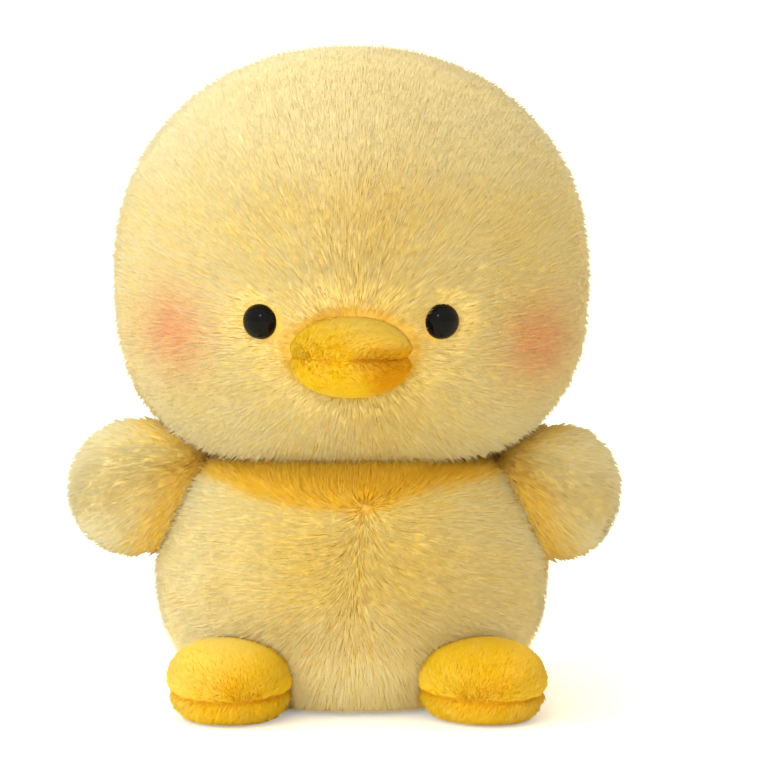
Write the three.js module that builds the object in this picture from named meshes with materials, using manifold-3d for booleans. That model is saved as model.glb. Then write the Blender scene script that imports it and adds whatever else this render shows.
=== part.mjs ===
import * as THREE from 'three';
import { mergeVertices } from 'three/addons/utils/BufferGeometryUtils.js';
import Module from 'manifold-3d';

// A plush chick that sits upright. Sizes are in millimetres, +Z is up, the face looks towards -Y,
// and the origin is the centre of the flat base. Left and right are the chick's own: left is +X.
// An outer form is the surface of the pile's tips, so a wall is the backing cloth and its pile.
// The head nods and turns on the round top of the body, whose centre is inside the body.

// Clearances
const GAP = 0.3; // between pieces that touch
const FACET_ALLOWANCE = 0.3; // what flat facets take from a round bearing surface
const SOLE_PRESS = 0.5; // how far a rounded underside is pressed flat on the table

// Body
const BODY_HALF_WIDTH = 47.3;
const BODY_HALF_DEPTH = 44;
const BODY_WIDEST_HEIGHT = 31;
const BODY_FULLNESS_BELOW = 2.3; // 2 is an ellipse, and more is squarer
const BODY_WALL = 7;
const BASE_HALF_WIDTH = 36;
const BASE_PANEL_HALF_WIDTH = 30.5;
const BASE_PANEL_THICKNESS = 2.4;
const DOME_RADIUS = 50;
const DOME_CENTRE_HEIGHT = 24;

// Neck
const NECK_OPENING_RADIUS = 18.4;
const NECK_STITCH_RADIUS = 16.6;
const NECK_NOD = 8; // degrees each way
const NECK_TURN = 20; // degrees each way

// Head, whose heights are counted from the top of the body's dome
const HEAD_HALF_WIDTH = 57.5;
const HEAD_HALF_DEPTH = 49;
const HEAD_WIDEST_RISE = 32;
const HEAD_CROWN_RISE = 54; // from the widest level up
const HEAD_JAW_DROP = 49.5; // from the widest level down
const HEAD_CROWN_FULLNESS = 2.1;
const HEAD_JAW_FULLNESS = 2.9;
const HEAD_WALL = 7;

// Eyes: a dome on a ribbed shank, with a washer behind the cloth
const EYE_RADIUS = 4.4;
const EYE_BULGE = 3.8;
const EYE_HALF_SPACING = 22.8;
const EYE_DROP = 8; // below the head's widest level
const EYE_SINK = 3; // how deep the dome's rim lies in the pile
const SHANK_RADIUS = 1.3;
const SHANK_RIB = 0.3;
const SHANK_TAIL = 1.6; // what stands out behind the washer
const WASHER_RADIUS = 6;
const WASHER_THICKNESS = 1.6;

// Beak
const BEAK_HALF_WIDTH = 14.6;
const BEAK_HALF_DEPTH = 13;
const BEAK_RISE = 9.4; // from its widest level up
const BEAK_DROP = 9.6; // from its widest level down
const BEAK_FULLNESS = 2.2;
const BEAK_CENTRE_DROP = 15.9; // its widest level, below the head's
const BEAK_FRONT_LENGTH = 11; // ahead of the pile
const BEAK_SINK = 5; // behind the tips of the pile
const BEAK_WALL = 2;

// Wings
const WING_HALF_WIDTH = 16.4;
const WING_HALF_DEPTH = 13.8;
const LEFT_WING_TIP_LENGTH = 15.6; // from the widest section to the tip
const RIGHT_WING_TIP_LENGTH = 18.2;
const WING_ROOT_LENGTH = 20; // from the widest section to the root
const WING_TIP_FULLNESS = 2.1;
const WING_ROOT_FULLNESS = 1.9;
const LEFT_WING_OUT = 49.4; // its widest section, from the middle
const RIGHT_WING_OUT = 50.6;
const LEFT_WING_HEIGHT = 50.2;
const RIGHT_WING_HEIGHT = 51.8;
const LEFT_WING_DROOP = 15; // degrees below level
const RIGHT_WING_DROOP = 17; // degrees below level
const WING_WALL = 5;
const WING_LIFT = 9; // degrees
const WING_LOWER = 12; // degrees
const CHEEK_ROOM = 3; // degrees left between a raised wing and the cheek above it
const SHOULDER_ANGLE = 31; // of the sewn root, above level, seen from the dome's centre
const SHOULDER_OPENING_RADIUS = 6.2;
const SHOULDER_STITCH_RADIUS = 4.5;
const SHOULDER_STITCH_STANDOFF = 2.8; // from the body's surface

// Feet
const FOOT_HALF_WIDTH = 15.3;
const FOOT_HALF_LENGTH = 19;
const FOOT_INSTEP_RISE = 10.6;
const FOOT_SOLE_DROP = 8.5;
const FOOT_INSTEP_FULLNESS = 2.3;
const FOOT_SOLE_FULLNESS = 2.5;
const LEFT_FOOT_INSET = 15.7; // its centre, from the body's side
const RIGHT_FOOT_INSET = 17.9;
const FOOT_FRONT_INSET = 8.5; // its centre, from the body's front
const FOOT_SEAM_HEIGHT = 6.5;
const FOOT_WALL = 2.2;
const FOOT_LIFT = 15; // degrees the toes can be raised
const FOOT_HINGE_INSET = 15; // its sewn edge, from the body's front
const FOOT_HINGE_HEIGHT = 2.5;
const LEFT_TOE_OUT = 20; // degrees
const RIGHT_TOE_OUT = 4; // degrees

// Sewing thread
const THREAD_RADIUS = 0.4;
const STITCH_LIFT = 0.8; // how far a stitch's path winds round the edge that it joins
const NECK_STITCHES = 16;
const SHOULDER_STITCHES = 6;
const CLOSING_STITCHES = 6;
const CLOSING_LOW = 20; // heights of the closing seam's ends
const CLOSING_HIGH = 50;
const CLOSING_SWAY = 0.9;
const CLOSING_DEPTH = 1.2; // below the pile
const CLOSING_ROOM = 0.6; // round the closing seam, in its furrow

// Facets
const LARGE = { sides: 32, rings: 16 };
const MIDDLE = { sides: 22, rings: 12 };
const SMALL = { sides: 18, rings: 8 };
const TINY = { sides: 14, rings: 5 };
const BEARING = { sides: 40, rings: 20 };
const THREAD_SIDES = 5;
const STITCH_STEPS = 8;
const WELD = 1e-4;
const FAR = 200; // past every piece

const neckCentre = new THREE.Vector3(0, 0, DOME_CENTRE_HEIGHT);
const headWidestHeight = DOME_CENTRE_HEIGHT + DOME_RADIUS + HEAD_WIDEST_RISE;
const seatRadius = DOME_RADIUS + GAP + FACET_ALLOWANCE;

const wasm = await Module();
wasm.setup();

function radians(degrees) {
  return THREE.MathUtils.degToRad(degrees);
}

// A closed geometry as a solid that can be joined and cut
function solid(geometry) {
  const bare = geometry.clone();
  bare.deleteAttribute('normal');
  bare.deleteAttribute('uv');
  const welded = mergeVertices(bare, WELD);
  const corners = welded.index.array;
  const kept = [];
  for (let i = 0; i < corners.length; i += 3) {
    const [a, b, c] = [corners[i], corners[i + 1], corners[i + 2]];
    if (a !== b && b !== c && c !== a) kept.push(a, b, c);
  }
  const vertProperties = welded.attributes.position.array;
  return new wasm.Manifold(
    new wasm.Mesh({ numProp: 3, vertProperties, triVerts: new Uint32Array(kept) }),
  );
}

function geometryOf(shape) {
  const { vertProperties, triVerts } = shape.getMesh();
  const geometry = new THREE.BufferGeometry();
  geometry.setAttribute('position', new THREE.BufferAttribute(vertProperties, 3));
  geometry.setIndex(new THREE.BufferAttribute(triVerts, 1));
  geometry.computeVertexNormals();
  return geometry;
}

// The solid turned about a line through a pivot
function turned(shape, pivot, axis, degrees) {
  const geometry = geometryOf(shape);
  geometry.translate(-pivot.x, -pivot.y, -pivot.z);
  geometry.applyMatrix4(new THREE.Matrix4().makeRotationAxis(axis, radians(degrees)));
  geometry.translate(pivot.x, pivot.y, pivot.z);
  return solid(geometry);
}

// Cuts a piece back so that it clears an obstacle at every angle of its own hinge
function clearOf(piece, obstacle, pivot, axis, angles) {
  let cut = piece;
  for (const angle of angles) {
    cut = cut.subtract(turned(obstacle, pivot, axis, -angle));
  }
  return cut;
}

// A stuffed form: an oval whose reach and fullness differ above and below its widest level.
// A grow above 0 is a clearance round it, and below 0 it is the inside of a wall.
function stuffedForm(size, facets, grow = 0) {
  const outline = [];
  for (let ring = 0; ring <= facets.rings; ring += 1) {
    const angle = Math.PI * (ring / facets.rings - 0.5);
    const reach = (angle > 0 ? size.above : size.below) + grow;
    const power = 2 / (angle > 0 ? size.fullAbove : size.fullBelow);
    const out = (size.halfWidth + grow) * Math.abs(Math.cos(angle)) ** power;
    const up = Math.sign(angle) * reach * Math.abs(Math.sin(angle)) ** power;
    outline.push(new THREE.Vector2(out, up));
  }
  const form = new THREE.LatheGeometry(outline, facets.sides);
  form.rotateX(Math.PI / 2);
  form.scale(1, (size.halfDepth + grow) / (size.halfWidth + grow), 1);
  return form;
}

// The half-width of a stuffed form at a rise from its widest level
function halfWidthAt(size, rise) {
  const reach = rise > 0 ? size.above : size.below;
  const fullness = rise > 0 ? size.fullAbove : size.fullBelow;
  return size.halfWidth * (1 - Math.abs(rise / reach) ** fullness) ** (1 / fullness);
}

function block(lowX, lowY, lowZ, highX, highY, highZ) {
  const box = new THREE.BoxGeometry(highX - lowX, highY - lowY, highZ - lowZ);
  box.translate((lowX + highX) / 2, (lowY + highY) / 2, (lowZ + highZ) / 2);
  return solid(box);
}

function above(height) {
  return block(-FAR, -FAR, height, FAR, FAR, FAR);
}

function below(height) {
  return block(-FAR, -FAR, -FAR, FAR, FAR, height);
}

function ball(radius, centre, facets) {
  const sphere = new THREE.SphereGeometry(radius, facets.sides, facets.rings);
  sphere.rotateX(Math.PI / 2);
  sphere.translate(centre.x, centre.y, centre.z);
  return solid(sphere);
}

// An upright round or oval plug between two heights
function plug(halfWidth, halfDepth, low, high) {
  const disc = new THREE.CylinderGeometry(halfWidth, halfWidth, high - low, LARGE.sides);
  disc.rotateX(Math.PI / 2);
  disc.scale(1, halfDepth / halfWidth, 1);
  disc.translate(0, 0, (low + high) / 2);
  return solid(disc);
}

// A turned piece from radius and height pairs, which start and end on the axis or meet
function turnedPiece(points, facets) {
  const outline = points.map(([radius, height]) => new THREE.Vector2(radius, height));
  const piece = new THREE.LatheGeometry(outline, facets.sides);
  piece.rotateX(Math.PI / 2);
  return piece;
}

class RingOfStitches extends THREE.Curve {
  constructor(radius, stitches, lift) {
    super();
    Object.assign(this, { radius, stitches, lift });
  }

  // One thread that winds round the edge of a round opening and meets its own start
  getPoint(t, target = new THREE.Vector3()) {
    const round = 2 * Math.PI * t;
    const wind = this.stitches * round;
    const out = this.radius + this.lift * Math.cos(wind);
    return target.set(out * Math.cos(round), out * Math.sin(round), this.lift * Math.sin(wind));
  }
}

function ringOfStitches(radius, stitches) {
  const path = new RingOfStitches(radius, stitches, STITCH_LIFT);
  const steps = stitches * STITCH_STEPS;
  return new THREE.TubeGeometry(path, steps, THREAD_RADIUS, THREAD_SIDES, true);
}

// The thread's own gap where one stitch lies beside the next, on the inner side of the ring
function stitchGap(radius, stitches) {
  return (2 * Math.PI * (radius - STITCH_LIFT)) / stitches - 2 * THREAD_RADIUS;
}

const bodyShape = {
  halfWidth: BODY_HALF_WIDTH,
  halfDepth: BODY_HALF_DEPTH,
  above: DOME_CENTRE_HEIGHT + DOME_RADIUS - BODY_WIDEST_HEIGHT,
  below: BODY_WIDEST_HEIGHT / baseShare(),
  fullAbove: 2,
  fullBelow: BODY_FULLNESS_BELOW,
};

// The share of the lower curve at which the body has narrowed to the width of its base
function baseShare() {
  const narrowing = (BASE_HALF_WIDTH / BODY_HALF_WIDTH) ** BODY_FULLNESS_BELOW;
  return (1 - narrowing) ** (1 / BODY_FULLNESS_BELOW);
}

// The body is oval at the belly and grows round towards the dome that carries the head
function bodyDepthShare(height) {
  const oval = BODY_HALF_DEPTH / BODY_HALF_WIDTH;
  const round = THREE.MathUtils.smoothstep(height, BODY_WIDEST_HEIGHT, 2 * BODY_WIDEST_HEIGHT);
  return THREE.MathUtils.lerp(oval, 1, round);
}

function bodyForm(grow, facets) {
  const form = stuffedForm(bodyShape, facets, grow);
  form.translate(0, 0, BODY_WIDEST_HEIGHT);
  const oval = (BODY_HALF_DEPTH + grow) / (BODY_HALF_WIDTH + grow);
  const places = form.attributes.position;
  const place = new THREE.Vector3();
  for (let i = 0; i < places.count; i += 1) {
    place.fromBufferAttribute(places, i);
    place.y *= bodyDepthShare(place.z) / oval;
    place.sub(neckCentre).clampLength(0, DOME_RADIUS + grow).add(neckCentre);
    places.setXYZ(i, place.x, place.y, place.z);
  }
  return solid(form);
}

const headShape = {
  halfWidth: HEAD_HALF_WIDTH,
  halfDepth: HEAD_HALF_DEPTH,
  above: HEAD_CROWN_RISE,
  below: HEAD_JAW_DROP,
  fullAbove: HEAD_CROWN_FULLNESS,
  fullBelow: HEAD_JAW_FULLNESS,
};

function headForm(grow, facets) {
  const form = stuffedForm(headShape, facets, grow);
  form.translate(0, 0, headWidestHeight);
  return solid(form);
}

// How far ahead of the centre the head's surface lies, at a place seen from the front
function faceForward(x, height) {
  const wide = halfWidthAt(headShape, height - headWidestHeight);
  const deep = (wide * HEAD_HALF_DEPTH) / HEAD_HALF_WIDTH;
  return deep * Math.sqrt(1 - (x / wide) ** 2);
}

const eyeHeight = headWidestHeight - EYE_DROP;

// Moves a piece made along +Z from the pile's surface to the place of an eye
function atEye(geometry, side) {
  const x = side * EYE_HALF_SPACING;
  const wide = halfWidthAt(headShape, eyeHeight - headWidestHeight);
  const deep = (wide * HEAD_HALF_DEPTH) / HEAD_HALF_WIDTH;
  const forward = faceForward(x, eyeHeight);
  const yaw = Math.atan2(x / wide ** 2, forward / deep ** 2);
  const placed = geometry.clone();
  placed.rotateX(Math.PI / 2);
  placed.rotateZ(yaw);
  placed.translate(x, -forward, eyeHeight);
  return placed;
}

const washerFront = -HEAD_WALL - GAP;
const shankEnd = washerFront - WASHER_THICKNESS - SHANK_TAIL;

function eyePiece() {
  const points = [[0, shankEnd], [SHANK_RADIUS * 0.7, shankEnd]];
  const ribs = 3;
  const pitch = (-EYE_SINK - shankEnd) / (ribs + 1);
  for (let rib = 1; rib <= ribs; rib += 1) {
    const height = shankEnd + rib * pitch;
    points.push([SHANK_RADIUS + SHANK_RIB, height - pitch / 4]);
    points.push([SHANK_RADIUS, height]);
  }
  points.push([SHANK_RADIUS, -EYE_SINK]);
  for (let step = 0; step <= TINY.rings; step += 1) {
    const angle = (Math.PI / 2) * (step / TINY.rings);
    points.push([EYE_RADIUS * Math.cos(angle), -EYE_SINK + EYE_BULGE * Math.sin(angle)]);
  }
  return turnedPiece(points, TINY);
}

function washerPiece() {
  const bore = SHANK_RADIUS + SHANK_RIB + GAP;
  const back = washerFront - WASHER_THICKNESS;
  const rim = WASHER_THICKNESS / 3;
  const section = [
    [bore, back],
    [WASHER_RADIUS - rim, back],
    [WASHER_RADIUS, washerFront - rim],
    [WASHER_RADIUS, washerFront],
    [bore, washerFront],
    [bore, back],
  ];
  return turnedPiece(section, TINY);
}

// The room that an eye takes in the head: its hollow in the pile, its hole and its washer's seat
function eyeSocket() {
  const hollow = EYE_RADIUS + GAP;
  const hole = SHANK_RADIUS + SHANK_RIB + GAP;
  const seat = WASHER_RADIUS + GAP;
  const floor = -EYE_SINK - GAP;
  return turnedPiece([
    [0, shankEnd - GAP],
    [seat, shankEnd - GAP],
    [seat, -HEAD_WALL],
    [hole, -HEAD_WALL],
    [hole, floor],
    [hollow, floor],
    [hollow, EYE_BULGE],
    [0, EYE_BULGE],
  ], TINY);
}

const beakShape = {
  halfWidth: BEAK_HALF_WIDTH,
  halfDepth: BEAK_HALF_DEPTH,
  above: BEAK_RISE,
  below: BEAK_DROP,
  fullAbove: BEAK_FULLNESS,
  fullBelow: BEAK_FULLNESS,
};
const beakHeight = headWidestHeight - BEAK_CENTRE_DROP;
const beakForward = faceForward(0, beakHeight) + BEAK_FRONT_LENGTH - BEAK_HALF_DEPTH;
const beakBack = -faceForward(0, beakHeight) + BEAK_SINK;

// The beak's form, cut off where it is sewn to the backing cloth
function beakForm(grow) {
  const form = stuffedForm(beakShape, SMALL, grow);
  form.translate(0, -beakForward, beakHeight);
  const ahead = block(-FAR, -FAR, -FAR, FAR, beakBack + Math.max(grow, 0), FAR);
  return solid(form).intersect(ahead);
}

const headSeat = ball(seatRadius, neckCentre, BEARING);
const neckStitchAway = seatRadius + STITCH_LIFT + THREAD_RADIUS;
const neckStitchHeight =
  DOME_CENTRE_HEIGHT + Math.sqrt(neckStitchAway ** 2 - NECK_STITCH_RADIUS ** 2);

function headShell() {
  const inner = headForm(-HEAD_WALL, MIDDLE).subtract(
    ball(seatRadius + HEAD_WALL, neckCentre, MIDDLE),
  );
  let shell = headForm(0, LARGE).subtract(inner).subtract(headSeat);
  shell = shell.subtract(plug(NECK_OPENING_RADIUS, NECK_OPENING_RADIUS, 0, headWidestHeight));
  shell = shell.subtract(beakForm(GAP));
  for (const side of [1, -1]) shell = shell.subtract(solid(atEye(eyeSocket(), side)));
  return shell;
}

function headStuffing() {
  const inset = HEAD_WALL + GAP;
  const neckEnd = neckStitchHeight + STITCH_LIFT + THREAD_RADIUS + GAP;
  const throat = NECK_OPENING_RADIUS - GAP;
  let filling = headForm(-inset, MIDDLE).subtract(ball(seatRadius + inset, neckCentre, MIDDLE));
  filling = filling.add(plug(throat, throat, neckEnd, headWidestHeight));
  for (const side of [1, -1]) filling = filling.subtract(solid(atEye(eyeSocket(), side)));
  return filling;
}

function beakHalf(upper) {
  const panel = beakForm(0).subtract(beakForm(-BEAK_WALL));
  return upper
    ? panel.intersect(above(beakHeight + GAP / 2))
    : panel.intersect(below(beakHeight - GAP / 2));
}

function neckStitches() {
  const ring = ringOfStitches(NECK_STITCH_RADIUS, NECK_STITCHES);
  ring.translate(0, 0, neckStitchHeight);
  return solid(ring);
}

// The closing seam runs up the middle of the back, a little below the pile
class ClosingStitches extends THREE.Curve {
  constructor(sway) {
    super();
    this.sway = sway;
  }

  getPoint(t, target = new THREE.Vector3()) {
    const height = THREE.MathUtils.lerp(CLOSING_LOW, CLOSING_HIGH, t);
    const across = this.sway * Math.sin(2 * Math.PI * CLOSING_STITCHES * t);
    const wide = halfWidthAt(bodyShape, height - BODY_WIDEST_HEIGHT);
    const back = wide * bodyDepthShare(height) - CLOSING_DEPTH;
    return target.set(across, back, height);
  }
}

function strand(path, radius, steps) {
  const section = new THREE.Shape();
  for (let side = 0; side < THREAD_SIDES; side += 1) {
    const angle = (2 * Math.PI * side) / THREAD_SIDES;
    const place = [radius * Math.cos(angle), radius * Math.sin(angle)];
    if (side === 0) section.moveTo(...place);
    else section.lineTo(...place);
  }
  section.closePath();
  return solid(new THREE.ExtrudeGeometry(section, { steps, extrudePath: path }));
}

function closingStitches() {
  return strand(new ClosingStitches(CLOSING_SWAY), THREAD_RADIUS, CLOSING_STITCHES * STITCH_STEPS);
}

// The furrow in the pile in which the closing seam lies
function closingFurrow() {
  const room = THREAD_RADIUS + CLOSING_ROOM;
  const halfWidth = CLOSING_SWAY + room;
  const depth = CLOSING_DEPTH + room;
  const outside = DOME_RADIUS + GAP;
  const steps = CLOSING_STITCHES;
  const outline = new THREE.Shape();
  const path = new ClosingStitches(0);
  const backAt = (t) => path.getPoint(t).y + CLOSING_DEPTH;
  const reach = room / (CLOSING_HIGH - CLOSING_LOW);
  for (let step = 0; step <= steps; step += 1) {
    const t = THREE.MathUtils.lerp(-reach, 1 + reach, step / steps);
    const height = THREE.MathUtils.lerp(CLOSING_LOW, CLOSING_HIGH, t);
    if (step === 0) outline.moveTo(backAt(t) - depth, height);
    else outline.lineTo(backAt(t) - depth, height);
  }
  outline.lineTo(outside, CLOSING_HIGH + room);
  outline.lineTo(outside, CLOSING_LOW - room);
  outline.closePath();
  const furrow = new THREE.ExtrudeGeometry(outline, { depth: 2 * halfWidth, bevelEnabled: false });
  furrow.translate(0, 0, -halfWidth);
  furrow.rotateX(Math.PI / 2);
  furrow.rotateZ(Math.PI / 2);
  return solid(furrow);
}

const basePanelHalfDepth = (BASE_PANEL_HALF_WIDTH * BODY_HALF_DEPTH) / BODY_HALF_WIDTH;

function bodyShell() {
  const inner = bodyForm(-BODY_WALL, MIDDLE).intersect(above(BASE_PANEL_THICKNESS));
  const baseOpening = plug(
    BASE_PANEL_HALF_WIDTH + GAP,
    basePanelHalfDepth + GAP,
    -BASE_PANEL_THICKNESS,
    BODY_WALL,
  );
  const neckOpening = plug(
    NECK_OPENING_RADIUS,
    NECK_OPENING_RADIUS,
    BODY_WIDEST_HEIGHT,
    headWidestHeight,
  );
  return bodyForm(0, LARGE)
    .intersect(above(0))
    .subtract(inner)
    .subtract(baseOpening)
    .subtract(neckOpening)
    .subtract(closingFurrow());
}

function basePanel() {
  return plug(BASE_PANEL_HALF_WIDTH, basePanelHalfDepth, 0, BASE_PANEL_THICKNESS);
}

function bodyStuffing() {
  const inset = BODY_WALL + GAP;
  const throat = NECK_OPENING_RADIUS - GAP;
  const column = plug(throat, throat, BODY_WIDEST_HEIGHT, headWidestHeight);
  const filling = bodyForm(-inset, MIDDLE).add(column.intersect(bodyForm(-GAP, LARGE)));
  return filling.intersect(above(BASE_PANEL_THICKNESS + GAP));
}

const wingShape = {
  halfWidth: WING_HALF_WIDTH,
  halfDepth: WING_HALF_DEPTH,
  below: WING_ROOT_LENGTH,
  fullAbove: WING_TIP_FULLNESS,
  fullBelow: WING_ROOT_FULLNESS,
};
const leftWing = {
  out: LEFT_WING_OUT,
  height: LEFT_WING_HEIGHT,
  droop: LEFT_WING_DROOP,
  shape: { ...wingShape, above: LEFT_WING_TIP_LENGTH },
};
const rightWing = {
  out: RIGHT_WING_OUT,
  height: RIGHT_WING_HEIGHT,
  droop: RIGHT_WING_DROOP,
  shape: { ...wingShape, above: RIGHT_WING_TIP_LENGTH },
};
const flapAngles = [-WING_LOWER, 0, WING_LIFT + CHEEK_ROOM];

// The wing's form, with its tip outwards and drooping
function wingForm(side, grow, facets) {
  const { out, height, droop, shape } = side > 0 ? leftWing : rightWing;
  const form = stuffedForm(shape, facets, grow);
  form.rotateY(side * radians(90 + droop));
  form.translate(side * out, 0, height);
  return solid(form);
}

// The sewn root, on the body's dome, at a distance from the dome's centre
function shoulder(side, away) {
  const angle = radians(SHOULDER_ANGLE);
  const out = new THREE.Vector3(side * Math.cos(angle), 0, Math.sin(angle));
  return out.multiplyScalar(away).add(neckCentre);
}

// Moves a piece made along +Z to the shoulder, square to the dome
function atShoulder(geometry, side, away) {
  const placed = geometry.clone();
  placed.rotateY(side * radians(90 - SHOULDER_ANGLE));
  const place = shoulder(side, away);
  placed.translate(place.x, place.y, place.z);
  return placed;
}

// Where the head can be, as an obstacle for the wings below its cheeks
function headInAnyPosition() {
  const head = headForm(GAP, LARGE);
  const nodAxis = new THREE.Vector3(1, 0, 0);
  const turnAxis = new THREE.Vector3(0, 0, 1);
  let swept = head;
  for (const turn of [-NECK_TURN, 0, NECK_TURN]) {
    for (const nod of [-NECK_NOD, 0, NECK_NOD]) {
      swept = swept.add(turned(turned(head, neckCentre, turnAxis, turn), neckCentre, nodAxis, nod));
    }
  }
  return swept;
}

const headRoom = headInAnyPosition();

function clearedWing(piece, side, grow) {
  const pivot = shoulder(side, DOME_RADIUS);
  const liftAxis = new THREE.Vector3(0, -side, 0);
  return clearOf(piece, bodyForm(grow, LARGE).add(headRoom), pivot, liftAxis, flapAngles);
}

// A round opening through the wing's root, from inside the dome to a height above the dome
function shoulderOpening(side, height) {
  const radius = SHOULDER_OPENING_RADIUS;
  const bore = new THREE.CylinderGeometry(radius, radius, 2 * height, SMALL.sides);
  bore.rotateX(Math.PI / 2);
  return solid(atShoulder(bore, side, DOME_RADIUS));
}

function wingShell(side) {
  const inner = wingForm(side, -WING_WALL, SMALL).subtract(bodyForm(WING_WALL, MIDDLE));
  const shell = wingForm(side, 0, MIDDLE).subtract(inner);
  const opened = shell.subtract(shoulderOpening(side, 2 * WING_WALL));
  return clearedWing(opened, side, GAP);
}

function wingStuffing(side) {
  const inset = WING_WALL + GAP;
  const stitchRoom = SHOULDER_STITCH_STANDOFF + STITCH_LIFT + THREAD_RADIUS + GAP;
  return wingForm(side, -inset, SMALL)
    .subtract(bodyForm(inset, MIDDLE))
    .subtract(shoulderOpening(side, stitchRoom));
}

function shoulderStitches(side) {
  const ring = ringOfStitches(SHOULDER_STITCH_RADIUS, SHOULDER_STITCHES);
  return solid(atShoulder(ring, side, DOME_RADIUS + SHOULDER_STITCH_STANDOFF));
}

const footForward = BODY_HALF_DEPTH - FOOT_FRONT_INSET;
const footHingeForward = BODY_HALF_DEPTH - FOOT_HINGE_INSET;
const footShape = {
  halfWidth: FOOT_HALF_WIDTH,
  halfDepth: FOOT_HALF_LENGTH,
  above: FOOT_INSTEP_RISE,
  below: FOOT_SOLE_DROP,
  fullAbove: FOOT_INSTEP_FULLNESS,
  fullBelow: FOOT_SOLE_FULLNESS,
};

function footCentreX(side) {
  return side * (BODY_HALF_WIDTH - (side > 0 ? LEFT_FOOT_INSET : RIGHT_FOOT_INSET));
}

function toeOut(side) {
  return radians(side > 0 ? LEFT_TOE_OUT : -RIGHT_TOE_OUT);
}

// The foot's form, turned with its toe outwards and pressed flat where it rests
function footForm(side, grow, facets) {
  const form = stuffedForm(footShape, facets, grow);
  form.rotateZ(toeOut(side));
  form.translate(footCentreX(side), -footForward, FOOT_SOLE_DROP - SOLE_PRESS);
  return solid(form).intersect(above(Math.max(-grow, 0)));
}

function liftedClearance(piece, side, grow) {
  const pivot = new THREE.Vector3(footCentreX(side), -footHingeForward, FOOT_HINGE_HEIGHT);
  const axis = new THREE.Vector3(-Math.cos(toeOut(side)), -Math.sin(toeOut(side)), 0);
  const angles = [0, 0.5, 1].map((share) => share * FOOT_LIFT);
  return clearOf(piece, bodyForm(grow, LARGE), pivot, axis, angles);
}

function footUpper(side) {
  const panel = footForm(side, 0, MIDDLE).subtract(footForm(side, -FOOT_WALL, SMALL));
  const upper = panel.intersect(above(FOOT_SEAM_HEIGHT + GAP / 2));
  return liftedClearance(upper, side, GAP);
}

function footSole(side) {
  const panel = footForm(side, 0, MIDDLE).subtract(footForm(side, -FOOT_WALL, SMALL));
  const sole = panel.intersect(below(FOOT_SEAM_HEIGHT - GAP / 2));
  return liftedClearance(sole, side, GAP);
}

function footStuffing(side) {
  const filling = footForm(side, -FOOT_WALL - GAP, SMALL);
  return liftedClearance(filling, side, GAP);
}

function finish(color, roughness) {
  return new THREE.MeshStandardMaterial({ color, roughness, metalness: 0 });
}

const furCloth = finish(0xf2df8c, 0.95);
const velour = finish(0xe8a62c, 0.85);
const stuffing = finish(0xf4f2ea, 1);
const thread = finish(0xe2c25e, 0.8);
const eyeGloss = finish(0x0c0a0a, 0.12);
const washerPlastic = finish(0xdcdcd6, 0.5);

const chick = new THREE.Group();

function addPiece(name, shape, material) {
  const piece = new THREE.Mesh(geometryOf(shape), material);
  piece.name = name;
  chick.add(piece);
}

addPiece('head_fur_shell', headShell(), furCloth);
addPiece('head_stuffing', headStuffing(), stuffing);
addPiece('beak_upper', beakHalf(true), velour);
addPiece('beak_lower', beakHalf(false), velour);
addPiece('beak_stuffing', beakForm(-BEAK_WALL - GAP), stuffing);
addPiece('neck_stitches', neckStitches(), thread);
addPiece('body_fur_shell', bodyShell(), furCloth);
addPiece('base_panel', basePanel(), furCloth);
addPiece('body_stuffing', bodyStuffing(), stuffing);
addPiece('closing_stitches', closingStitches(), thread);
for (const [hand, side] of [['left', 1], ['right', -1]]) {
  addPiece(`eye_${hand}`, solid(atEye(eyePiece(), side)), eyeGloss);
  addPiece(`eye_${hand}_washer`, solid(atEye(washerPiece(), side)), washerPlastic);
  addPiece(`wing_${hand}_fur_shell`, wingShell(side), furCloth);
  addPiece(`wing_${hand}_stuffing`, wingStuffing(side), stuffing);
  addPiece(`wing_${hand}_stitches`, shoulderStitches(side), thread);
  addPiece(`foot_${hand}_upper`, footUpper(side), velour);
  addPiece(`foot_${hand}_sole`, footSole(side), velour);
  addPiece(`foot_${hand}_stuffing`, footStuffing(side), stuffing);
}

console.log('gap between neighbouring stitches, neck', stitchGap(NECK_STITCH_RADIUS, NECK_STITCHES));
console.log('and shoulder', stitchGap(SHOULDER_STITCH_RADIUS, SHOULDER_STITCHES));

export default chick;
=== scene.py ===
"""A plush chick with a long soft pile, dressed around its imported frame.

Blender works in metres. The forms here repeat the part's own sizes in millimetres, so each is
scaled by MM as its mesh is made. Left is the chick's own left, +X, and side 1; right is side -1.
A strand of pile grows from the backing cloth and ends about at the surface of its solid.
"""

import math

import bpy
import numpy as np
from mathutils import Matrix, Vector, kdtree


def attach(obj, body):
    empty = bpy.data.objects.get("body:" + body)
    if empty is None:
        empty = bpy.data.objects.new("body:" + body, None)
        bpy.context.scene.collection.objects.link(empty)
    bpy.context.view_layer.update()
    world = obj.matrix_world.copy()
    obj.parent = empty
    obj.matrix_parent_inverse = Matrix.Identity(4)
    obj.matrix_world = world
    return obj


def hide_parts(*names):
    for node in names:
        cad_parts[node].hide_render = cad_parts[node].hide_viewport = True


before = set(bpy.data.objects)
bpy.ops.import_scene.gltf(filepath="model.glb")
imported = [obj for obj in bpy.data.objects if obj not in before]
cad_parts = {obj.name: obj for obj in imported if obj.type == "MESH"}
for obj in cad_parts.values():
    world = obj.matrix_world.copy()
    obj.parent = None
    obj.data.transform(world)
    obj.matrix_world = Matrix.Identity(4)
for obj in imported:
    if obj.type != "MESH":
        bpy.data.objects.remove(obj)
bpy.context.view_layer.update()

MM = 0.001
SHARE = 1.0  # of the strands
BROADEN = 1.0
HANDS = (("left", 1), ("right", -1))


# ---------------------------------------------------------------- forms, in millimetres
#
# w and d are a form's half width and half depth, up and down its reach from its middle, and
# fu and fd how full its outline is above and below: 2 is an ellipse, and more is squarer.

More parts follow.
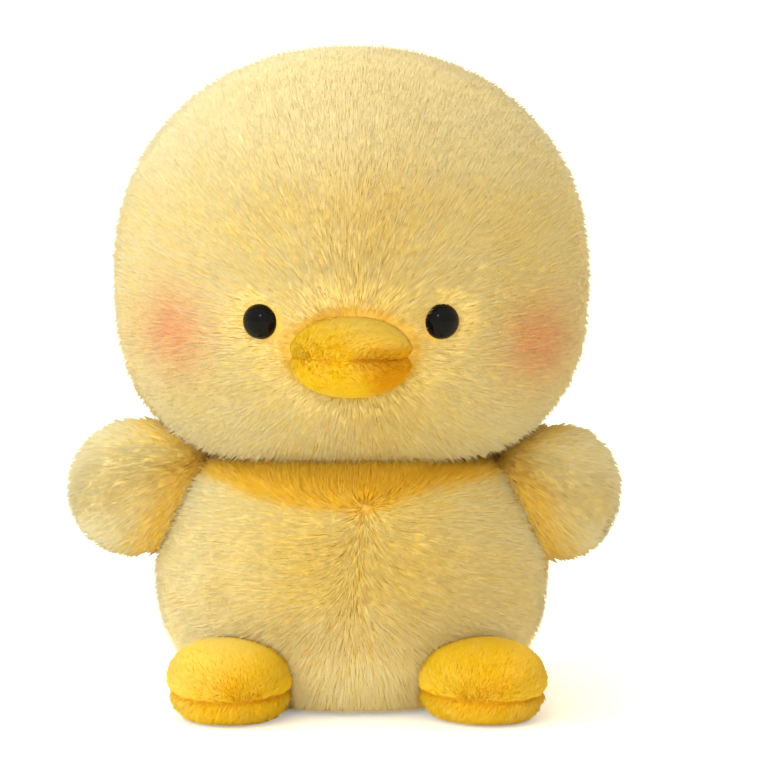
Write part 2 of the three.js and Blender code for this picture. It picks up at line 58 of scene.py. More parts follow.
DOME = np.array([0.0, 0.0, 24.0])
DOME_R = 50.0
SEAT_R = 50.6
HEAD_Z = 106.0
BODY_Z = 31.0
BODY_W = 47.3
BODY_FULL = 2.3
BASE_W = 36.0
BODY_DOWN = BODY_Z / (1 - (BASE_W / BODY_W) ** BODY_FULL) ** (1 / BODY_FULL)
HEAD = dict(w=57.5, d=49.0, up=54.0, down=49.5, fu=2.1, fd=2.9)
BODY = dict(w=BODY_W, d=44.0, up=43.0, down=BODY_DOWN, fu=2.0, fd=BODY_FULL)
BEAK = dict(w=14.6, d=13.0, up=9.4, down=9.6, fu=2.2, fd=2.2)
FOOT = dict(w=15.3, d=19.0, up=10.6, down=8.5, fu=2.3, fd=2.5)
WING = {
    1: dict(w=16.4, d=13.8, up=15.6, down=20.0, fu=2.1, fd=1.9),
    -1: dict(w=16.4, d=13.8, up=18.2, down=20.0, fu=2.1, fd=1.9),
}
WING_AT = {1: np.array([49.4, 0, 50.2]), -1: np.array([-50.6, 0, 51.8])}
WING_TURN = {1: math.radians(90 + 15), -1: math.radians(90 + 17)}
BEAK_AT = np.array([0.0, -46.3, 90.1])
EYE_AT = 22.8, 98.0
FOOT_AT = {1: np.array([31.6, -35.5, 8.0]), -1: np.array([-29.4, -35.5, 8.0])}
TOE_OUT = {1: math.radians(20), -1: math.radians(-4)}
FOOT_SEAM = 6.5
OUTLINE_STEPS = 4001
TINY = 1e-6  # the least length that something is divided by


def profile(shape, grow, rings):
    """Radius and height of a form's outline at equal steps along it, from its lowest point up."""
    ang = np.linspace(-np.pi / 2, np.pi / 2, OUTLINE_STEPS)
    reach = np.where(ang > 0, shape["up"], shape["down"]) + grow
    power = 2 / np.where(ang > 0, shape["fu"], shape["fd"])
    out = (shape["w"] + grow) * np.abs(np.cos(ang)) ** power
    out[0] = out[-1] = 0
    up = np.sign(ang) * reach * np.abs(np.sin(ang)) ** power
    far = np.concatenate([[0], np.cumsum(np.hypot(np.diff(out), np.diff(up)))])
    at = np.linspace(0, far[-1], rings + 1)
    return np.interp(at, far, out), np.interp(at, far, up)


def rows_joined(rows, sides):
    """Faces of a closed skin of rings of points, whose two poles are the last two points."""
    i, j = np.meshgrid(np.arange(rows - 1), np.arange(sides), indexing="ij")
    k = (j + 1) % sides
    quads = np.stack([i * sides + j, i * sides + k, (i + 1) * sides + k, (i + 1) * sides + j], -1)
    low, j = rows * sides, np.arange(sides)
    k, last = (j + 1) % sides, (rows - 1) * sides
    caps = [np.stack([k, j, low + 0 * j], -1), np.stack([last + j, last + k, low + 1 + 0 * j], -1)]
    return quads.reshape(-1, 4), np.vstack(caps)


def lathe(shape, grow, rings, sides):
    """Points of a form, its two poles last, and its faces."""
    out, up = profile(shape, grow, rings)
    a = np.arange(sides) * 2 * np.pi / sides
    deep = (shape["d"] + grow) / (shape["w"] + grow)
    r, z = out[1:-1, None], up[1:-1, None]
    ring = np.stack([r * np.cos(a), r * np.sin(a) * deep, z + 0 * a], -1).reshape(-1, 3)
    points = np.vstack([ring, [[0, 0, up[0]], [0, 0, up[-1]]]])
    return points, *rows_joined(rings - 1, sides)


def spun(points, angle, axis):
    """Points turned by an angle about the axis y or z."""
    c, s = math.cos(angle), math.sin(angle)
    x, y, z = points.T
    if axis == "y":
        return np.stack([x * c + z * s, y, -x * s + z * c], -1)
    return np.stack([x * c - y * s, x * s + y * c, z], -1)


def depth_share(z):
    """How deep the body is for its width: oval at the base, round at the neck."""
    t = np.clip((z - BODY_Z) / BODY_Z, 0, 1)
    oval = BODY["d"] / BODY["w"]
    return oval + (1 - oval) * t * t * (3 - 2 * t)


def placed(name, grow, rings, sides):
    """A form at its place: head, body, beak, or wing1, wing-1, foot1 and foot-1 by side."""
    if name == "head":
        p, q, t = lathe(HEAD, grow, rings, sides)
        p[:, 2] += HEAD_Z
    elif name == "body":
        p, q, t = lathe(BODY, grow, rings, sides)
        p[:, 2] += BODY_Z
        p[:, 1] *= depth_share(p[:, 2]) / ((BODY["d"] + grow) / (BODY["w"] + grow))
        away = p - DOME
        far = np.linalg.norm(away, axis=1, keepdims=True)
        p = DOME + away * np.minimum(1, (DOME_R + grow) / np.maximum(far, TINY))
    elif name == "beak":
        p, q, t = lathe(BEAK, grow, rings, sides)
        p += BEAK_AT
    elif name.startswith("wing"):
        side = int(name[4:])
        p, q, t = lathe(WING[side], grow, rings, sides)
        p = spun(p, side * WING_TURN[side], "y") + WING_AT[side]
    else:
        side = int(name[4:])
        p, q, t = lathe(FOOT, grow, rings, sides)
        p = spun(p, TOE_OUT[side], "z") + FOOT_AT[side]
    return p, q, t


def inside(name, p, grow=0.0):
    """How far inside a form each point is: below 1 is inside."""
    if name == "head":
        shape, q = HEAD, p - [0, 0, HEAD_Z]
    elif name == "body":
        shape, q = dict(BODY, d=BODY["w"]), p - [0, 0, BODY_Z]
        q = q * np.stack([np.ones(len(q)), 1 / depth_share(p[:, 2]), np.ones(len(q))], -1)
    elif name == "beak":
        shape, q = BEAK, p - BEAK_AT
    elif name.startswith("wing"):
        side = int(name[4:])
        shape, q = WING[side], spun(p - WING_AT[side], -side * WING_TURN[side], "y")
    else:
        side = int(name[4:])
        shape, q = FOOT, spun(p - FOOT_AT[side], -TOE_OUT[side], "z")
    r = np.hypot(q[:, 0] / (shape["w"] + grow), q[:, 1] / (shape["d"] + grow))
    up = q[:, 2] > 0
    full = np.where(up, shape["fu"], shape["fd"])
    reach = np.where(up, shape["up"], shape["down"]) + grow
    return (r**full + np.abs(q[:, 2] / reach) ** full) ** (1 / full)


# ---------------------------------------------------------------- meshes

WAVES = 7  # in a noise
NOISE_PEAK = 3.7  # about the most that so many waves add up to


def unit(v):
    """Vectors made 1 long."""
    return v / np.maximum(np.linalg.norm(v, axis=-1, keepdims=True), 1e-9)


def smooth(low, high, value):
    """0 below low, 1 above high, and a soft step between them."""
    t = np.clip((value - low) / (high - low), 0, 1)
    return t * t * (3 - 2 * t)


def bell(off, wide):
    """1 at 0, falling off softly to both sides of it."""
    return np.exp(-((off / wide) ** 2))


def bare_mesh(name, points, faces):
    """A mesh from points in metres and lists of faces of one size each."""
    mesh = bpy.data.meshes.new(name)
    sizes = np.concatenate([np.full(len(f), f.shape[1]) for f in faces])
    corners = np.concatenate([f.ravel() for f in faces]).astype(np.int32)
    starts = np.concatenate([[0], np.cumsum(sizes)[:-1]]).astype(np.int32)
    mesh.vertices.add(len(points))
    mesh.vertices.foreach_set("co", points.astype(np.float32).ravel())
    mesh.loops.add(len(corners))
    mesh.loops.foreach_set("vertex_index", corners)
    mesh.polygons.add(len(sizes))
    mesh.polygons.foreach_set("loop_start", starts)
    mesh.update(calc_edges=True)
    return mesh


def mesh_piece(name, points, faces, body, material):
    """A smooth mesh piece, from points in millimetres, that rides on a body."""
    mesh = bare_mesh(name, points * MM, faces)
    mesh.shade_smooth()
    mesh.materials.append(material)
    piece = bpy.data.objects.new(name, mesh)
    bpy.context.scene.collection.objects.link(piece)
    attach(piece, body)
    return piece


def vertex_normals(points, faces):
    """Outward normals of a closed mesh's points."""
    normals = np.zeros_like(points)
    for group in faces:
        a, b, c = (points[group[:, k]] for k in (0, 1, -1))
        n = np.cross(b - a, c - a)
        for k in range(group.shape[1]):
            np.add.at(normals, group[:, k], n)
    return unit(normals)


def noise(points, size, seed):
    """Smooth noise from about -1 to 1 at points, with waves about size long."""
    rng = np.random.default_rng(seed)
    total = 0
    for _ in range(WAVES):
        way = unit(rng.normal(size=3))
        length = size * rng.uniform(0.7, 1.5)
        total = total + np.sin(points @ way * 2 * np.pi / length + rng.uniform(0, 6.3))
    return total / NOISE_PEAK


def sampled(points, faces, per_mm2, seed):
    """Even random places on a mesh: points and outward normals."""
    rng = np.random.default_rng(seed)
    normals = vertex_normals(points, faces)
    tris = [f if f.shape[1] == 3 else np.vstack([f[:, :3], f[:, [0, 2, 3]]]) for f in faces]
    tris = np.vstack(tris)
    a, b, c = (points[tris[:, k]] for k in range(3))
    far = np.cumsum(np.linalg.norm(np.cross(b - a, c - a), axis=1) / 2)
    count = int(far[-1] * per_mm2 * SHARE)
    at = (np.arange(count) + rng.random(count)) / count * far[-1]
    tri = tris[np.minimum(np.searchsorted(far, at), len(tris) - 1)]
    u, v = rng.random(count), rng.random(count)
    over = u + v > 1
    u[over], v[over] = 1 - u[over], 1 - v[over]
    mix = [(1 - u - v)[:, None], u[:, None], v[:, None]]
    where = sum(m * points[tri[:, k]] for k, m in enumerate(mix))
    out = unit(sum(m * normals[tri[:, k]] for k, m in enumerate(mix)))
    order = rng.permutation(count)
    return where[order], out[order]


# ---------------------------------------------------------------- materials


def material(name):
    """A new material, its node tree and its shader."""
    mat = bpy.data.materials.new(name)
    mat.use_nodes = True
    tree = mat.node_tree
    shader = tree.nodes["Principled BSDF"]
    return mat, tree, shader


def node(tree, kind, **values):
    """A new node, with settings and sockets set by name."""
    made = tree.nodes.new(kind)
    for key, value in values.items():
        if hasattr(made, key):
            setattr(made, key, value)
        else:
            made.inputs[key].default_value = value
    return made


def wire(tree, a, b):
    tree.links.new(a, b)


def ramp(tree, fac, stops):
    """A colour that runs through (place, colour) stops by a socket's value."""
    made = tree.nodes.new("ShaderNodeValToRGB")
    bar = made.color_ramp
    while len(bar.elements) < len(stops):
        bar.elements.new(0.5)
    for element, (at, colour) in zip(bar.elements, stops):
        element.position = at
        element.color = (*colour, 1)
    wire(tree, fac, made.inputs[0])
    return made.outputs[0]


def srgb(r, g, b):
    """A colour written as 0 to 255, as the shader wants it."""
    shares = (r / 255, g / 255, b / 255)
    return tuple(c / 12.92 if c <= 0.04045 else ((c + 0.055) / 1.055) ** 2.4 for c in shares)


def mixed(tree, share, a, b):
    """Colour a turning to colour b by a socket's value; b may be a plain colour."""
    made = node(tree, "ShaderNodeMix", data_type="RGBA", blend_type="MIX")
    wire(tree, share, made.inputs["Factor"])
    wire(tree, a, made.inputs["A"])
    if isinstance(b, tuple):
        made.inputs["B"].default_value = (*b, 1)
    else:
        wire(tree, b, made.inputs["B"])
    return made.outputs["Result"]


def of_strand(tree, name):
    """A value that each strand carries."""
    return node(tree, "ShaderNodeAttribute", attribute_name=name).outputs["Fac"]


def pile_material(name, full, pale, deep, blush, rough, specular, sheen, tint):
    """Pile whose colour runs from root to tip: full or pale by tone, which also carries painted light, and
    deep with painted shade in creases.
    """
    mat, tree, shader = material(name)
    along = of_strand(tree, "along")
    colour = mixed(tree, of_strand(tree, "tone"), ramp(tree, along, full), ramp(tree, along, pale))
    # painted shade: deep turns the colour darker and fuller where creases and overhangs fall in shade
    colour = mixed(tree, of_strand(tree, "deep"), colour, ramp(tree, along, deep))
    if blush:
        colour = mixed(tree, of_strand(tree, "blush"), colour, blush)
    wire(tree, colour, shader.inputs["Base Color"])
    shader.inputs["Roughness"].default_value = rough
    shader.inputs["Specular IOR Level"].default_value = specular
    shader.inputs["Sheen Weight"].default_value = sheen
    shader.inputs["Sheen Roughness"].default_value = 0.4
    shader.inputs["Sheen Tint"].default_value = (*tint, 1)
    return mat


def cloth_material(name, dark, light, scale, rough=0.9, bump=0.3):
    """Knitted or brushed cloth: fine rows, a soft mottle and a nap."""
    uneven = 0.08  # in how rough it is
    mat, tree, shader = material(name)
    place = node(tree, "ShaderNodeTexCoord")
    rows = node(tree, "ShaderNodeTexWave", Scale=scale, Distortion=1.5, Detail=2.0)
    wire(tree, place.outputs["Object"], rows.inputs["Vector"])
    mottle = node(tree, "ShaderNodeTexNoise", Scale=scale * 0.4, Detail=5.0)
    wire(tree, place.outputs["Object"], mottle.inputs["Vector"])
    both = node(tree, "ShaderNodeMath", operation="MULTIPLY_ADD")
    wire(tree, rows.outputs["Fac"], both.inputs[0])
    both.inputs[1].default_value = 0.35
    wire(tree, mottle.outputs["Fac"], both.inputs[2])
    wire(tree, ramp(tree, both.outputs[0], [(0.3, dark), (0.85, light)]), shader.inputs["Base Color"])
    raised = node(tree, "ShaderNodeBump", Strength=bump, Distance=0.0006)
    wire(tree, both.outputs[0], raised.inputs["Height"])
    wire(tree, raised.outputs["Normal"], shader.inputs["Normal"])
    grain = node(tree, "ShaderNodeMapRange")
    wire(tree, mottle.outputs["Fac"], grain.inputs["Value"])
    grain.inputs["To Min"].default_value = rough - uneven
    grain.inputs["To Max"].default_value = min(1, rough + uneven)
    wire(tree, grain.outputs["Result"], shader.inputs["Roughness"])
    shader.inputs["Sheen Weight"].default_value = 0.15
    return mat


def eye_material():
    """Black moulded plastic with a polished dome and a faint haze of fine scratches."""
    mat, tree, shader = material("eye_dome")
    place = node(tree, "ShaderNodeTexCoord")
    haze = node(tree, "ShaderNodeTexNoise", Scale=900.0, Detail=5.0)
    wire(tree, place.outputs["Object"], haze.inputs["Vector"])
    colour = ramp(tree, haze.outputs["Fac"], [(0.3, srgb(5, 4, 5)), (0.8, srgb(17, 13, 12))])
    wire(tree, colour, shader.inputs["Base Color"])
    rough = node(tree, "ShaderNodeMapRange")
    wire(tree, haze.outputs["Fac"], rough.inputs["Value"])
    rough.inputs["To Min"].default_value = 0.06
    rough.inputs["To Max"].default_value = 0.16
    wire(tree, rough.outputs["Result"], shader.inputs["Roughness"])
    raised = node(tree, "ShaderNodeBump", Strength=0.04, Distance=0.0001)
    wire(tree, haze.outputs["Fac"], raised.inputs["Height"])
    wire(tree, raised.outputs["Normal"], shader.inputs["Normal"])
    shader.inputs["Specular IOR Level"].default_value = 0.14
    return mat


PILE = pile_material(
    "pile",
    full=[(0.0, srgb(243, 195, 74)), (0.5, srgb(250, 212, 103)), (1.0, srgb(252, 225, 131))],
    # pale also serves as painted light
    pale=[(0.0, srgb(249, 216, 128)), (0.5, srgb(252, 231, 168)), (1.0, srgb(254, 243, 211))],
    # deep is painted shade: a darker, fuller gold
    deep=[(0.0, srgb(232, 164, 12)), (0.5, srgb(242, 184, 30)), (1.0, srgb(248, 202, 62))],
    blush=srgb(250, 170, 128),
    rough=0.65, specular=0.2, sheen=0.5, tint=srgb(255, 246, 226),
)
NAP = pile_material(
    "velour_nap",
    full=[(0.0, srgb(236, 168, 2)), (0.5, srgb(253, 198, 6)), (1.0, srgb(255, 212, 22))],
    # pale also serves as painted highlight on the nap
    pale=[(0.0, srgb(238, 176, 24)), (0.5, srgb(252, 208, 74)), (1.0, srgb(255, 226, 122))],
    # deep is painted shade on the nap
    deep=[(0.0, srgb(190, 108, 2)), (0.5, srgb(222, 146, 4)), (1.0, srgb(240, 172, 14))],
    blush=None,
    rough=0.7, specular=0.12, sheen=0.06, tint=srgb(255, 226, 140),
)
BACKING = cloth_material("backing_cloth", srgb(234, 184, 72), srgb(244, 204, 104), scale=1500.0)
VELOUR = cloth_material("velour", srgb(222, 148, 4), srgb(246, 182, 12), scale=900.0)
FILLING = cloth_material("fibre_filling", srgb(225, 222, 212), srgb(250, 248, 242), scale=300.0)
THREAD = cloth_material("sewing_thread", srgb(200, 160, 60), srgb(240, 208, 120), scale=4000.0)
WASHER = cloth_material(
    "washer_plastic", srgb(206, 206, 200), srgb(226, 226, 222), scale=200.0, rough=0.4, bump=0.05
)
EYE = eye_material()


# ---------------------------------------------------------------- pile

PER_PIECE = 48000  # strands
LOWEST = 0.1  # above the floor
KNEE = 0.5  # where along itself a strand is widest, and bends
KNEE_LIFT = 0.35  # of the strand's width, so that it is a ridge and not a flat blade
MOST_BENT = 0.5  # the least that a bend rises from the skin
OWN_SHADE = 0.24  # how much a strand is shaded as a strand, and not as the skin below it
TIP_SHADE = 0.2  # how much its tip is shaded as facing along it
ROLL = 0.3  # radians, how much a strand's flat side is turned from facing outwards
UPRIGHT_KNEE = 0.6  # how far a strand rises before it bends over, as a share of its rise
MIDDLE = {"head": np.array([0, 0, HEAD_Z]), "body": np.array([0, 0, BODY_Z])}
MIDDLE |= {f"wing{side}": WING_AT[side] for side in (1, -1)}

# Corners of a strand's two kites in its own square of the UV map, as shares of the square
CELL = {"root": 0.04, "shoulder": 0.41, "tip": 0.96, "narrow": 0.21, "upper": 0.25, "lower": 0.75}


def strand_map(root):
    """Where each corner of each strand lies on a picture of the pile's colour, by its UV map OFBake.

    Every strand has a cell of its own in a square grid, and near strands have near cells.
    """
    n = len(root)
    across = math.ceil(math.sqrt(n))
    rank = np.argsort(np.argsort(root[:, 2]))
    row = rank // across
    order = np.lexsort((np.arctan2(root[:, 1], root[:, 0]), row))
    cell = np.empty(n, int)
    cell[order] = np.arange(n)
    corner = np.stack([cell % across, cell // across], -1)[:, None, None]
    kites = []
    for middle in (CELL["upper"], CELL["lower"]):
        beside = [middle - CELL["narrow"], middle + CELL["narrow"]]
        kite = [(middle, CELL["root"]), (beside[0], CELL["shoulder"])]
        kites.append([*kite, (beside[1], CELL["shoulder"]), (middle, CELL["tip"])])
    upper, lower = np.array(kites)
    faces = [upper[[0, 2, 1]], upper[[3, 1, 2]], lower[[0, 1, 3]], lower[[0, 3, 2]]]
    return (corner + np.array(faces)) / across


def strands(name, body, wears, root, skin, tip, bend, width, traits, rng, bend_at=UPRIGHT_KNEE):
    """Closed strands: each runs from its root along bend, over two shoulders, to its tip.

    skin is the way a strand faces for shading, and traits are the values that it carries.
    """
    chunks = max(1, math.ceil(len(root) / PER_PIECE))
    rise = np.sum((tip - root) * skin, 1) / np.maximum(np.sum(bend * skin, 1), MOST_BENT)
    up_to = np.maximum(rise * bend_at, 0)[:, None]
    for chunk in range(chunks):
        pick = slice(chunk, None, chunks)
        r, s, t, b = root[pick], skin[pick], tip[pick], bend[pick]
        n = len(r)
        turn = r + b * up_to[pick]
        knee = (1 - KNEE) ** 2 * r + 2 * KNEE * (1 - KNEE) * turn + KNEE**2 * t
        way = unit(t - r)
        side = unit(np.cross(way, s))
        up = np.cross(side, way)
        roll = rng.normal(size=(n, 1)) * ROLL
        side = side * np.cos(roll) + up * np.sin(roll)
        wide = side * width[pick][:, None] * 0.5
        knee = knee + up * width[pick][:, None] * KNEE_LIFT
        points = np.stack([r, knee - wide, knee + wide, t], 1)
        points[:, :, 2] = np.maximum(points[:, :, 2], LOWEST)
        shoulders = [unit(s - side * OWN_SHADE), unit(s + side * OWN_SHADE)]
        normals = np.stack([s, *shoulders, unit(way * TIP_SHADE + s)], 1)
        tris = np.array([[0, 2, 1], [3, 1, 2], [0, 1, 3], [0, 3, 2]])
        faces = (tris[None] + np.arange(n)[:, None, None] * 4).reshape(-1, 3)
        label = f"{name}_{chunk + 1}" if chunks > 1 else name
        piece = mesh_piece(label, points.reshape(-1, 3), [faces], body, wears)
        mesh = piece.data
        values = {key: np.repeat(per[pick], 4) for key, per in traits.items()}
        values["along"] = np.tile([0, KNEE, KNEE, 1], n)
        for key, value in values.items():
            layer = mesh.attributes.new(key, "FLOAT", "POINT")
            layer.data.foreach_set("value", value.astype(np.float32))
        baked = mesh.uv_layers.new(name="OFBake")
        baked.data.foreach_set("uv", strand_map(r).astype(np.float32).ravel())
        mesh.normals_split_custom_set_from_vertices(normals.reshape(-1, 3).astype(np.float32))
        piece.visible_shadow = False


def clumped(where, share, rng):
    """For each point, the nearest of even random centres: its number, and how many there are."""
    count = max(8, int(len(where) * min(1, share)))
    tree = kdtree.KDTree(count)
    for i, c in enumerate(where[rng.choice(len(where), count, replace=False)]):
        tree.insert(c, i)
    tree.balance()
    return np.array([tree.find(p)[1] for p in where]), count


def drawn_together(tip, group, groups, pull):
    """Tips with those of one tuft drawn to its middle."""
    middle = np.zeros((groups, 3))
    np.add.at(middle, group, tip)
    middle /= np.maximum(np.bincount(group, minlength=groups), 1)[:, None]
    return tip + (middle[group] - tip) * pull


def laid_flat(way, skin):
    """A way along the skin."""
    return unit(way - skin * np.sum(way * skin, 1, keepdims=True))


def near_form(name, p, reach):
    """1 on a form's surface and inside it, falling to 0 at a share of its size away."""
    return 1 - smooth(0.0, reach, inside(name, p) - 1)


# How the pile lies. The pairs are where a change begins and ends, in millimetres.

PART = np.array([[4.0, -44.0, 53.0], [0.0, -44.0, 30.0]])  # the belly's pile parts along this line
CROWN = 138, 160
CROWN_BACK = 20, 2
HEAD_BACK = -24, 12
BODY_BACK = -18, 16
CLOSING_SEAM = (25, 35), (16, 20), (48, 44)  # in y, and its two ends in z
WING_FROM = 38, 57


def comb_head(p):
    """The way the pile lies, how far it leans, and how tufted it is."""
    away = p - (BEAK_AT + [0, -4, 0])
    near = np.linalg.norm(away * [1, 1, 1.3], axis=1)
    fluffed = 0.6 * smooth(*CROWN, p[:, 2]) * smooth(*CROWN_BACK, p[:, 1])
    lean = 1.2 + 0.2 * bell(near - 12, 9) - fluffed
    back = smooth(*HEAD_BACK, p[:, 1])[:, None]
    way = unit(away) * (1 - back) + np.array([0, 0.7, -0.9]) * back
    tufted = 0.85 - 0.5 * smooth(115, 150, p[:, 2])
    return way, lean, tufted


def comb_body(p):
    """Out from the belly's parting, down the back, out from the closing seam and up under the chin."""
    line = PART[1] - PART[0]
    t = np.clip((p - PART[0]) @ line / (line @ line), 0, 1)
    away = p - (PART[0] + t[:, None] * line)
    near = np.linalg.norm(away * [1, 0.3, 1], axis=1)
    lean = 0.9 + 0.4 * smooth(2, 14, near)
    back = smooth(*BODY_BACK, p[:, 1])[:, None]
    way = unit(away + [0, 0, -3]) * (1 - back) + np.array([0, 0, -1]) * back
    deep, low, high = CLOSING_SEAM
    y, z = p[:, 1], p[:, 2]
    seam = bell(p[:, 0], 3) * smooth(*deep, y) * smooth(*low, z) * smooth(*high, z)
    way = way + np.stack([np.sign(p[:, 0]) * seam * 1.5, 0 * seam, 0.3 * seam], -1)
    above = smooth(0, 5, p[:, 2] - neck_line(p))[:, None] * (p[:, 1] < 0)[:, None]
    up = unit(p * [1, 0, 0] * 0.02 + [0, 0, 1])
    return unit(way * (1 - above) + up * above), lean, 1.05 - 0.25 * smooth(4, 20, near)


def neck_line(p):
    """The height above which the chest's pile stands up in the crease under the chin."""
    return 57 - 0.02 * p[:, 0] - 6.2 * bell(p[:, 0] + 6, 22)


def comb_wing(side):
    """Out from the shoulder."""

    def comb(p):
        way = unit(p - [side * WING_FROM[0], 0, WING_FROM[1]])
        return way, np.full(len(p), 1.3), np.full(len(p), 0.85)

    return comb


# How the pile looks. A form's pile stops where another form covers it by these depths.

UNDER_HEAD = -9
UNDER_WING = -7
UNDER_FOOT = -1.5
WING_IN_BODY = -7
WING_IN_HEAD = -10
BEAK_BARE = 0.93  # of the beak's outline
# where the painted shadow round the beak fades out, as shares of its outline
BEAK_SHADE_RIM = 0.96, 1.14
EYE_BARE = 3.9
EYE_HOLE = 1.6, 0.6  # how much nearer to the beak, and how much lower, the bare place is
BLUSH = (-40.7, 93.7, 8.5, 9.5), (42.9, 90.8, 9.0, 9.5)  # x, z, width and height
BLUSH_FULL = 0.75


def look_head(p):
    """Which places keep their pile, how long it is, how pale (painted light) and how deep (painted shade)
    its colour is, and its blush.
    """
    kept = np.linalg.norm(p - DOME, axis=1) > SEAT_R + 0.5
    front = p[:, 1] < -20
    long = 1 - 0.1 * smooth(112, 140, p[:, 2])
    beak = np.hypot(p[:, 0] / BEAK["w"], (p[:, 2] - BEAK_AT[2]) / BEAK["up"])
    kept &= ~(front & (beak < BEAK_BARE))
    long = np.where(front, long * (0.5 + 0.5 * smooth(0.95, 1.9, beak)), long)
    # painted shadow in a rim round the beak
    deep = np.where(front, 1 - smooth(*BEAK_SHADE_RIM, beak), 0)
    for side in (1, -1):
        eye = np.hypot(p[:, 0] - side * (EYE_AT[0] - EYE_HOLE[0]), p[:, 2] - EYE_AT[1] + EYE_HOLE[1])
        kept &= ~(front & (eye < EYE_BARE))
        long = np.where(front, long * (0.5 + 0.5 * smooth(4, 8.5, eye)), long)
    # painted shade under the head
    under = smooth(66, 58, p[:, 2])
    deep = np.maximum(deep * 0.8, 0.45 * under)
    blush = np.zeros(len(p))
    for x, z, wide, high in BLUSH:
        near = ((p[:, 0] - x) / wide) ** 2 + ((p[:, 2] - z) / high) ** 2
        blush = np.maximum(blush, np.where(p[:, 1] < 0, np.exp(-near) * BLUSH_FULL, 0))
    # painted light: paler towards the crown and at the sides
    pale = 0.8 * smooth(118, 152, p[:, 2]) + 0.1 * smooth(25, 50, np.abs(p[:, 0]))
    return kept, long, pale, deep, blush


def look_body(p):
    """Painted shade in the creases at the neck, wings, feet and floor, full in the middle of the belly, and
    painted light at the sides and low on the front.
    """
    kept = (p[:, 2] > 1.2) & (inside("head", p, UNDER_HEAD) > 1)
    front = smooth(10, -15, p[:, 1])
    # painted shade on the chest under the chin, most on the front
    deep = smooth(-1, 2, p[:, 2] - neck_line(p)) * (0.2 + 0.8 * front)
    # painted shade near the floor
    deep = np.maximum(deep, 0.7 * smooth(4.5, 1, p[:, 2]))
    for side in (1, -1):
        kept &= inside(f"foot{side}", p, UNDER_FOOT) > 1
        kept &= inside(f"wing{side}", p, UNDER_WING) > 1
        # painted shade where the wings and feet meet the body
        deep = np.maximum(deep, 0.85 * near_form(f"wing{side}", p, 0.22))
        deep = np.maximum(deep, 0.9 * near_form(f"foot{side}", p, 0.12))
    belly = 0.25 * smooth(26, 5, np.abs(p[:, 0])) * front * smooth(24, 34, p[:, 2])
    # painted light: paler at the sides; fuller in the middle of the belly
    pale = 0.2 * smooth(20, 42, np.abs(p[:, 0])) - belly
    # painted light: paler low on the front, which faces down
    pale = pale + 0.12 * smooth(30, 12, p[:, 2]) * front
    return kept, np.ones(len(p)), pale, deep, np.zeros(len(p))


def look_wing(p):
    """Short, and deep with painted shade, where it meets the body and the head, and paler with painted
    light at its outer side.
    """
    kept = (inside("body", p, WING_IN_BODY) > 1) & (inside("head", p, WING_IN_HEAD) > 1)
    # painted shade where the wing meets the body and the head
    deep = np.maximum(near_form("body", p, 0.22), 0.8 * near_form("head", p, 0.08))
    close = np.maximum(near_form("body", p, 0.1), near_form("head", p, 0.1))
    # painted light: paler at the outer side
    pale = 0.2 * smooth(42, 60, np.abs(p[:, 0]))
    return kept, 1 - 0.35 * close, pale, deep * 0.75, np.zeros(len(p))


def shading_way(form, where, skin, deep):
    """The way a strand faces for shading, turned to the light where the skin turns away from it."""
    round_body = unit(where * [1, 1, 0] + [0, 0, 6])
    if form == "head":  # the back of the crown
        crown = smooth(134, 154, where[:, 2:]) * smooth(2, 22, where[:, 1:2])
        turned_by = np.array([0.1, 0.7, -0.1]) * crown
    elif form == "body":  # the foot of the belly
        turned_by = np.array([0, -0.3, 0.9]) * smooth(34, 8, where[:, 2:])
    else:
        turned_by = (where * [1, 0, 0] / 50 + [0, 0, 0.2]) * 0.3
    return unit(skin + round_body * deep[:, None] * 0.4 + turned_by)


COAT_RINGS = 90, 140
COAT_PER_MM2 = 9.0
ROOT_DEPTH = 4.0
TUFTS = 0.09  # for each strand
LUMPS = 0.008  # the same, of wider groups
GUARDS = 0.18  # the share of strands that are finer and longer
GUARD_LONG = 1.05, 1.45
GUARD_OVER = 0.3, 1.7  # how far they reach over the form's surface
GUARD_WIDTH = 0.08
STRAND_WIDTH = 0.14, 0.2
FLAT_KNEE = 0.98  # where the others bend over, as a share of their rise
TIP_LOWEST = 0.4
ROOT_LOWEST = 0.8


